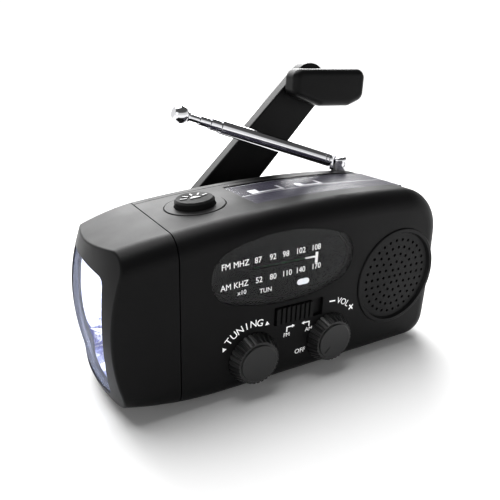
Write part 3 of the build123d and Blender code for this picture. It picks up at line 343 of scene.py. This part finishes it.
TILT = radians(16.7)         # how far the aerial rises from level
MATERIALS = {
    "case_black": moulded_plastic("case_black", (0.0032, 0.0032, 0.0034), 0.42, level=0.08),
    "trim_black": moulded_plastic("trim_black", (0.003, 0.003, 0.0032), 0.45, level=0.1),
    "knob_black": moulded_plastic("knob_black", (0.003, 0.003, 0.0032), 0.28, level=0.4),
    "crank_black": moulded_plastic("crank_black", (0.0032, 0.0032, 0.0034), 0.4, level=0.09),
    "component_black": moulded_plastic("component_black", (0.02, 0.02, 0.02), 0.5),
    "dial_black": moulded_plastic("dial_black", (0.003, 0.003, 0.0035), 0.6, level=0.05),
    "gear_white": moulded_plastic("gear_white", (0.78, 0.77, 0.72), 0.4, dust=0.9),
    "battery_sleeve": moulded_plastic("battery_sleeve", (0.03, 0.22, 0.09), 0.28),
    "ferrite": moulded_plastic("ferrite", (0.05, 0.047, 0.043), 0.6, grain=0.00004),
    "cone_paper": moulded_plastic("cone_paper", (0.03, 0.03, 0.03), 0.85, grain=0.00005,
                                  grain_scale=2600),
    "rubber_black": rubber("rubber_black", (0.004, 0.004, 0.004)),
    # The pointer's ink is given a strong painted glow.
    "pointer_white": printing("pointer_white", (0.9, 0.9, 0.9), painted_glow=1.0),
    "light_white": glowing("light_white", (0.95, 0.95, 0.95), 0.9),
    "led_clear": glowing("led_clear", (0.95, 0.97, 1.0), 14.0),
    "reflector_bright": turned_metal("reflector_bright", (0.82, 0.86, 0.96), 0.12),
    "steel": turned_metal("steel", (0.55, 0.55, 0.56), 0.3),
    "copper": turned_metal("copper", (0.72, 0.32, 0.15), 0.35),
    "chrome": polished_plating("chrome", (0.62, 0.62, 0.64), 0.07, (0, -TILT, 0)),
    # The lens is given a painted violet glow.
    "lens_clear": clear_plastic("lens_clear", (0.75, 0.82, 1.0), 0.08, 0.02, 1.45, glow=0.3),
    "window_clear": clear_plastic("window_clear", (0.01, 0.01, 0.011), 0.2, 0.03, 1.5),
    "cover_clear": clear_plastic("cover_clear", (0.02, 0.02, 0.03), 0.1, 0.22, 1.16),
    "board_green": printed_board("board_green", (0.012, 0.10, 0.035)),
    "cell_violet": silicon_cell("cell_violet", (0.022, 0.020, 0.032)),
}
# The control labels and the dial print get a painted glow, the dial print the strongest.
INK = printing("white_ink", (0.92, 0.92, 0.92))
DIAL_INK = printing("dial_ink", (0.92, 0.92, 0.92), painted_glow=1.1)
# Silver for the cell's contacts and for its painted edge highlight.
SILVER = turned_metal("contact_and_highlight_silver", (0.75, 0.75, 0.78), 0.35)

for entry in record["subparts"]:
    mesh = nodes[entry["node"]].data
    mesh.materials.clear()
    mesh.materials.append(MATERIALS[entry["material_slot"]])


# --- New pieces -----------------------------------------------------------------------------------
def finish_piece(name, shape, material, body, smooth=False):
    """Turn a bmesh into a piece that rides on a body."""
    mesh = bpy.data.meshes.new(name)
    shape.to_mesh(mesh)
    shape.free()
    for face in mesh.polygons:
        face.use_smooth = smooth
    mesh.materials.append(material)
    piece = bpy.data.objects.new(name, mesh)
    bpy.context.scene.collection.objects.link(piece)
    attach(piece, body)
    return piece


FACING_FRONT = Matrix.Rotation(pi / 2, 4, "X")
CAP_HEIGHT = 0.70        # height of a capital as a share of the type size


def set_type(shape, words, cap, x, z, y, turn=0.0, bold=0.0, width=1.0):
    """Add one word of raised lettering to a bmesh, centred at x, z on the plane y."""
    curve = bpy.data.curves.new("type", "FONT")
    curve.body = words
    curve.size = cap / CAP_HEIGHT
    curve.align_x = "CENTER"
    curve.align_y = "CENTER"
    curve.offset = cap * bold
    curve.extrude = 0.02 * MM
    curve.resolution_u = 3
    holder = bpy.data.objects.new("type", curve)
    bpy.context.scene.collection.objects.link(holder)
    bpy.context.view_layer.update()
    mesh = bpy.data.meshes.new_from_object(holder.evaluated_get(bpy.context.evaluated_depsgraph_get()))
    place = (Matrix.Translation((x, y, z)) @ Matrix.Rotation(-turn, 4, "Y") @ FACING_FRONT
             @ Matrix.Diagonal((width, 1, 1, 1)))
    mesh.transform(place)
    shape.from_mesh(mesh)
    bpy.data.meshes.remove(mesh)
    bpy.data.objects.remove(holder)
    bpy.data.curves.remove(curve)


def add_bar(shape, x, z, y, width, height, turn=0.0, thickness=0.04 * MM):
    """Add a thin printed bar to a bmesh."""
    place = (Matrix.Translation((x, y, z)) @ Matrix.Rotation(-turn, 4, "Y")
             @ Matrix.Diagonal((width, thickness, height, 1)))
    bmesh.ops.create_cube(shape, size=1, matrix=place)


def add_arrowhead(shape, x, z, y, size, heading):
    """Add a small printed triangle, pointing along its heading."""
    place = (Matrix.Translation((x, y, z)) @ Matrix.Rotation(pi / 2 - heading, 4, "Y") @ FACING_FRONT)
    bmesh.ops.create_cone(shape, cap_ends=True, segments=3, radius1=size, radius2=size,
                          depth=0.04 * MM, matrix=place)


def middle_of(node):
    """The middle of a CAD node's box."""
    low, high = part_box(node)
    return (low + high) / 2


DIAL_CAP = 1.85 * MM         # height of a capital on the dial
DIAL_RISE = 0.035            # slope of the printed rows
LABEL_CAP = 2.3 * MM         # height of a capital beside the knobs
TUNING_RING = 11.4 * MM      # radius of the lettering round each knob
VOLUME_RING = 12.6 * MM


def print_dial():
    """Frequency scales on the dial plate, seen through the window."""
    middle = middle_of("dial_plate")
    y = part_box("dial_plate")[0].y - 0.02 * MM
    scales = (
        (3.3, (("FM", -19.8), ("MHZ", -14.9), ("87", -9.3), ("92", -4.2), ("98", 0.4), ("102", 5.8),
               ("108", 11.6))),
        (-3.1, (("AM", -19.7), ("KHZ", -14.8), ("52", -8.7), ("80", -3.8), ("110", 1.2), ("140", 6.2),
                ("170", 12.2))),
    )
    shape = bmesh.new()
    for height, words in scales:
        for word, along in words:
            rise = DIAL_RISE * along
            set_type(shape, word, DIAL_CAP, middle.x + along * MM, middle.z + (height + rise) * MM, y,
                     turn=DIAL_RISE, width=0.92)
    set_type(shape, "x10", 0.75 * DIAL_CAP, middle.x - 14.4 * MM, middle.z - 6.3 * MM, y)
    set_type(shape, "TUN", 0.8 * DIAL_CAP, middle.x - 6.2 * MM, middle.z - 7.2 * MM, y)
    finish_piece("dial_printing", shape, DIAL_INK, "case")


def print_round_knob(shape, centre, y, radius, cap, letters):
    """Letters set round a knob: each comes with its angle, in degrees anticlockwise from the right."""
    for letter, angle in letters:
        angle = radians(angle)
        set_type(shape, letter, cap, centre.x + radius * cos(angle), centre.z + radius * sin(angle), y,
                 turn=angle - pi / 2)


def print_labels():
    """Names of the controls, printed on the front of the case."""
    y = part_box("front_shell")[0].y
    tuning, volume = middle_of("tuning_knob"), middle_of("volume_knob")
    switch = middle_of("band_switch")
    shape = bmesh.new()
    letters = [(letter, 138 - 11.7 * place) for place, letter in enumerate("TUNING")]
    print_round_knob(shape, tuning, y, TUNING_RING, LABEL_CAP, letters)
    for angle, side in ((152, 1), (66, -1)):
        angle = radians(angle)
        add_arrowhead(shape, tuning.x + TUNING_RING * cos(angle),
                      tuning.z + TUNING_RING * sin(angle), y, 0.85 * MM, angle + side * pi / 2)
    letters = (("V", 73), ("O", 63.5), ("L", 54.5))
    print_round_knob(shape, volume, y, VOLUME_RING, 0.92 * LABEL_CAP, letters)
    for angle, strokes in ((86, 1), (43, 2)):
        angle = radians(angle)
        for stroke in range(strokes):
            add_bar(shape, volume.x + VOLUME_RING * cos(angle), volume.z + VOLUME_RING * sin(angle), y,
                    2.3 * MM, 0.48 * MM, turn=angle - pi / 2 + stroke * pi / 2)
    set_type(shape, "OFF", 0.72 * LABEL_CAP, volume.x - 10.9 * MM, volume.z - 2.7 * MM, y)
    for side, word in ((-1, "FM"), (1, "AM")):
        x = switch.x + side * 4.3 * MM
        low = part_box("band_slider")[0].z - 4.6 * MM
        set_type(shape, word, 0.6 * LABEL_CAP, x, low, y)
        add_bar(shape, x, low + 1.9 * MM, y, 0.42 * MM, 1.7 * MM)
        add_bar(shape, x - side * 0.9 * MM, low + 2.7 * MM, y, 2.1 * MM, 0.42 * MM)
        add_arrowhead(shape, x - side * 2.3 * MM, low + 2.7 * MM, y, 0.7 * MM, pi / 2 + side * pi / 2)
    finish_piece("control_labels", shape, INK, "case")


print_dial()
print_labels()


# --- Lamp -----------------------------------------------------------------------------------------
def lamp_glow():
    """Bright plating with the light of the three lamps painted on as a glow: white at the back, violet
    with painted streak lines in front, and painted glints on its facets.
    """
    low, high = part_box("lamp_reflector")
    finish = Finish("lamp_glow", (0.8, 0.84, 0.95), 0.1, metallic=1.0)
    split = finish.node("ShaderNodeSeparateXYZ")
    finish.join(finish.place, split.inputs[0])
    # Painted light: streak lines of lamp light along the plating, brighter towards the back.
    painted_streak_noise = finish.noise(1, 3, finish.stretched((900, 900, 130)))
    deep = finish.between(split.outputs["X"], 0, 1, low.x + 0.001, high.x - 0.0035)
    painted_streak_mask = finish.between(painted_streak_noise, -0.55, 0.65, 0.35, 0.65)
    total = finish.node("ShaderNodeMath", operation="ADD", use_clamp=True)
    finish.join(deep, total.inputs[0])
    finish.join(painted_streak_mask, total.inputs[1])
    # Painted glints: facet cells painted lit white or dull violet.
    facets = finish.node("ShaderNodeTexVoronoi")
    facets.inputs["Scale"].default_value = 420
    finish.join(finish.stretched((1.0, 1.0, 0.45)), facets.inputs["Vector"])
    grey = finish.node("ShaderNodeRGBToBW")
    finish.join(facets.outputs["Color"], grey.inputs[0])
    shade = finish.between(grey.outputs[0], 0, 1, 0.3, 0.6)
    bright = finish.blend(shade, (0.26, 0.28, 0.72), (1, 1, 1))
    glow = finish.blend(total.outputs[0], (0.05, 0.05, 0.22), bright)
    # The painted lamp light goes in as an emission, though the plating is no lamp.
    finish.join(glow, finish.shader.inputs["Emission Color"])
    finish.set("Emission Strength", 1.1)
    return finish.material


DOME_MIDDLE = Vector((-1, 0, 26)) * MM      # centre of the domed lens
DOME_INSIDE = 62.5 * MM                     # just behind the lens and the rim that holds it
SIDE_SHARE = 0.16                           # how much of the half width the steep sides take
SIDE_FLARE = 0.05                           # how far the sides open towards the lens
BACK_ROOM = 1.2 * MM                        # between the tray and the lamp board
DIMPLE_DEPTH, DIMPLE_RADIUS = 2.2 * MM, 9 * MM
FACET_HEIGHT = 0.35 * MM
SHEET_THICKNESS = 0.5 * MM
TRAY_CLEARANCE = 0.1 * MM


def make_reflector():
    """A tray of pressed facets with steep sides; its flat back is dimpled round each lamp."""
    low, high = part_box("lamp_reflector")
    middle, half = (low + high) / 2, (high - low) / 2
    lamp_low, lamp_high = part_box("lamp_leds")
    pitch = (lamp_high.z - lamp_low.z - (lamp_high.y - lamp_low.y)) / 2
    deep = high.x - low.x - BACK_ROOM
    shape = bmesh.new()
    place = Matrix.Translation((low.x, middle.y, middle.z)) @ Matrix.Rotation(pi / 2, 4, "Y")
    bmesh.ops.create_grid(shape, x_segments=22, y_segments=18, size=1, matrix=place @ Matrix.Diagonal(
        (half.z - TRAY_CLEARANCE, half.y - TRAY_CLEARANCE, 1, 1)))
    for index, point in enumerate(shape.verts):
        across, along = (point.co.y - middle.y) / half.y, (point.co.z - middle.z) / half.z
        from_side = 1 - max(abs(across), abs(along))
        offset = point.co - middle
        nearest = min(((offset.z - step * pitch) ** 2 + offset.y ** 2) ** 0.5 for step in (-1, 0, 1))
        steep = min(1.0, from_side / SIDE_SHARE)
        bowl = min(1.0, nearest / DIMPLE_RADIUS) ** 2
        ripple = FACET_HEIGHT * (-1) ** index if from_side > 0.1 else 0
        spread = 1 + SIDE_FLARE * (1 - steep)
        point.co.y = middle.y + (point.co.y - middle.y) * spread
        point.co.z = middle.z + (point.co.z - middle.z) * (1 + (spread - 1) / 2)
        rim = DOME_MIDDLE.x - (DOME_INSIDE ** 2 - point.co.y ** 2
                               - (point.co.z - DOME_MIDDLE.z) ** 2) ** 0.5
        back = low.x + deep - DIMPLE_DEPTH * bowl
        point.co.x = rim + steep * (back - rim) + ripple
    bmesh.ops.triangulate(shape, faces=shape.faces)
    bmesh.ops.recalc_face_normals(shape, faces=shape.faces)
    bmesh.ops.solidify(shape, geom=shape.faces[:], thickness=SHEET_THICKNESS)
    bmesh.ops.recalc_face_normals(shape, faces=shape.faces)
    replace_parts(finish_piece("faceted_reflector", shape, lamp_glow(), "case"),
                "lamp_reflector")


make_reflector()


# --- Solar panel ----------------------------------------------------------------------------------
ARCH_RADIUS = 441 * MM       # the top of the case is part of a large circle
ARCH_CROWN = 21.0 * MM       # its highest point


def add_arched_strip(shape, x_low, x_high, y_low, y_high, rise):
    """Add a flat strip, bent to lie on the arched panel, to a bmesh."""
    strip = bmesh.new()
    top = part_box("solar_cell")[1].z + rise
    place = Matrix.Translation(((x_low + x_high) / 2, (y_low + y_high) / 2, 0)) @ Matrix.Diagonal(
        (x_high - x_low, y_high - y_low, 0.02 * MM, 1))
    bmesh.ops.create_cube(strip, size=1, matrix=place)
    cuts = max(1, int((x_high - x_low) / (2.5 * MM)))
    lengthwise = [edge for edge in strip.edges
                  if abs(edge.verts[0].co.x - edge.verts[1].co.x) > 0.5 * (x_high - x_low)]
    bmesh.ops.subdivide_edges(strip, edges=lengthwise, cuts=cuts, use_grid_fill=True)
    for point in strip.verts:
        point.co.z += top - (point.co.x - ARCH_CROWN) ** 2 / (2 * ARCH_RADIUS)
    mesh = bpy.data.meshes.new("strip")
    strip.to_mesh(mesh)
    strip.free()
    shape.from_mesh(mesh)
    bpy.data.meshes.remove(mesh)


def make_contacts_and_edge_highlight():
    """Silver outline, middle line and two soldered links of the solar cell; the outline stands in for
    the lit edge of the cell's recess, a painted highlight.
    """
    low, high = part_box("solar_cell")
    line, inset = 0.28 * MM, 0.35 * MM
    shape = bmesh.new()
    # The first two rows here and the two columns below are the outline, a painted highlight of the
    # recess edge; the row at -0.8 mm is the middle line.
    for y in (low.y + inset, high.y - inset - line, -0.8 * MM):
        add_arched_strip(shape, low.x + inset, high.x - inset, y, y + line, 0.01 * MM)
    for x in (low.x + inset, high.x - inset - line):
        add_arched_strip(shape, x, x + line, low.y + inset, high.y - inset, 0.01 * MM)
    for start, length, pad in ((5.0 * MM, 12.5 * MM, 3.2 * MM), (23.5 * MM, 10.0 * MM, 2.6 * MM)):
        left = low.x + start
        add_arched_strip(shape, left, left + length, 0.2 * MM, 1.4 * MM, 0.03 * MM)
        add_arched_strip(shape, left, left + pad, 1.4 * MM, 4.2 * MM, 0.03 * MM)
        add_arched_strip(shape, left + length - 1.1 * MM, left + length, 1.4 * MM, 5.2 * MM, 0.03 * MM)
    finish_piece("solar_contacts_and_edge_highlight", shape, SILVER, "case")


make_contacts_and_edge_highlight()


# --- Lamp button ----------------------------------------------------------------------------------
BUTTON_LEAN = radians(-6.5)  # the button stands square to the arched top
SIGN_RISE = 0.5 * MM
SIGN_OFFSET = -1.2 * MM      # the half disc sits a little in front of the button's middle
RAY_REACH, RAY_LENGTH, RAY_WIDTH = 3.7 * MM, 2.2 * MM, 0.75 * MM


def make_button_mark():
    """A raised lamp sign on the button: a half disc with five rays over it."""
    button = nodes["lamp_button"]
    square = Matrix.Rotation(BUTTON_LEAN, 4, "Y")
    axis = square @ Vector((0, 0, 1))
    points = [button.matrix_world @ vertex.co for vertex in button.data.vertices]
    crest = max(point.dot(axis) for point in points)
    rim = [point for point in points if crest - point.dot(axis) < 0.03 * MM]
    middle = Vector([(min(point[way] for point in rim) + max(point[way] for point in rim)) / 2
                     for way in range(3)])
    place = Matrix.Translation(middle) @ square @ Matrix.Translation((0, SIGN_OFFSET, 0))
    shape = bmesh.new()
    disc = bmesh.ops.create_cone(shape, cap_ends=True, segments=32, radius1=1.9 * MM,
                                 radius2=1.7 * MM, depth=SIGN_RISE, matrix=place)
    bmesh.ops.bisect_plane(shape, geom=disc["verts"] + shape.edges[:] + shape.faces[:],
                           plane_co=place @ Vector((0, 0, 0)), plane_no=(0, 1, 0), clear_inner=True)
    bmesh.ops.holes_fill(shape, edges=shape.edges[:])
    for ray in range(5):
        turn = Matrix.Rotation(radians(20 + 35 * ray), 4, "Z")
        bmesh.ops.create_cube(shape, size=1, matrix=place @ turn
                              @ Matrix.Translation((RAY_REACH, 0, 0))
                              @ Matrix.Diagonal((RAY_LENGTH, RAY_WIDTH, SIGN_RISE, 1)))
    bmesh.ops.bevel(shape, geom=shape.edges[:], offset=0.08 * MM, segments=1, profile=0.5,
                    affect="EDGES", material=-1)
    bmesh.ops.recalc_face_normals(shape, faces=shape.faces)
    finish_piece("button_mark", shape, MATERIALS["knob_black"], "lamp_button")


make_button_mark()
